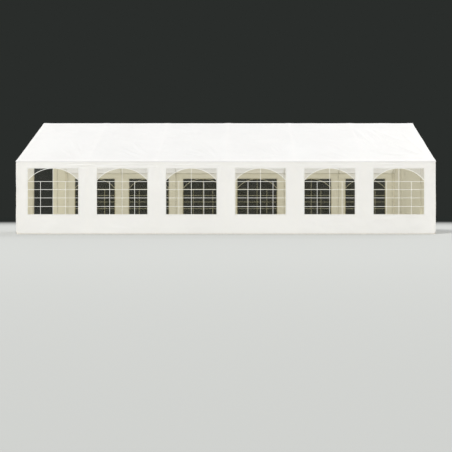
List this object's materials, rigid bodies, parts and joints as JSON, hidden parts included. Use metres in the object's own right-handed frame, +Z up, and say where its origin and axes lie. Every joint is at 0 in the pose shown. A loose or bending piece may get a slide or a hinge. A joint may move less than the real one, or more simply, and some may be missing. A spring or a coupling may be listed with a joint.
{
  "type": "marquee tent",
  "caption": "Long ridged marquee tent: steel tube frame, white fabric roof and walls, arched-bar film windows along both sides, an open doorway in one gable and a zipped door in the other.",
  "frame": {"origin": "on the ground, in the middle of the tent's plan", "axes": "+X along the length, from the open gable to the closed one; +Y from the front wall to the rear wall; +Z up"},
  "size_m": [12.1472, 6.066, 3.5919],
  "materials": {
    "roof_fabric": "white coated tarpaulin, satin, lightly creased",
    "wall_fabric": "white coated tarpaulin, satin, slightly warm and translucent",
    "window_film": "clear soft film with printed off-white bars and arch",
    "coated_steel": "white powder-coated steel tube, satin"
  },
  "bodies": {
    "root": {"roof_canopy": "roof_fabric", "front_wall": "wall_fabric", "rear_wall": "wall_fabric", "left_gable_wall": "wall_fabric", "right_gable_wall": "wall_fabric", "left_door_roll": "wall_fabric", "right_door_panel": "wall_fabric", "front_window_1": "window_film", "front_window_2": "window_film", "front_window_3": "window_film", "front_window_4": "window_film", "front_window_5": "window_film", "front_window_6": "window_film", "rear_window_1": "window_film", "rear_window_2": "window_film", "rear_window_3": "window_film", "rear_window_4": "window_film", "rear_window_5": "window_film", "rear_window_6": "window_film", "front_leg_1": "coated_steel", "front_leg_2": "coated_steel", "front_leg_3": "coated_steel", "front_leg_4": "coated_steel", "front_leg_5": "coated_steel", "front_leg_6": "coated_steel", "front_leg_7": "coated_steel", "rear_leg_1": "coated_steel", "rear_leg_2": "coated_steel", "rear_leg_3": "coated_steel", "rear_leg_4": "coated_steel", "rear_leg_5": "coated_steel", "rear_leg_6": "coated_steel", "rear_leg_7": "coated_steel", "rafter_pair_1": "coated_steel", "rafter_pair_2": "coated_steel", "rafter_pair_3": "coated_steel", "rafter_pair_4": "coated_steel", "rafter_pair_5": "coated_steel", "rafter_pair_6": "coated_steel", "rafter_pair_7": "coated_steel", "ridge_purlin": "coated_steel", "front_eave_purlin": "coated_steel", "rear_eave_purlin": "coated_steel", "front_mid_purlin": "coated_steel", "rear_mid_purlin": "coated_steel", "left_gable_post_front": "coated_steel", "left_gable_post_rear": "coated_steel", "right_gable_post_front": "coated_steel", "right_gable_post_rear": "coated_steel"}
  },
  "joints": []
}
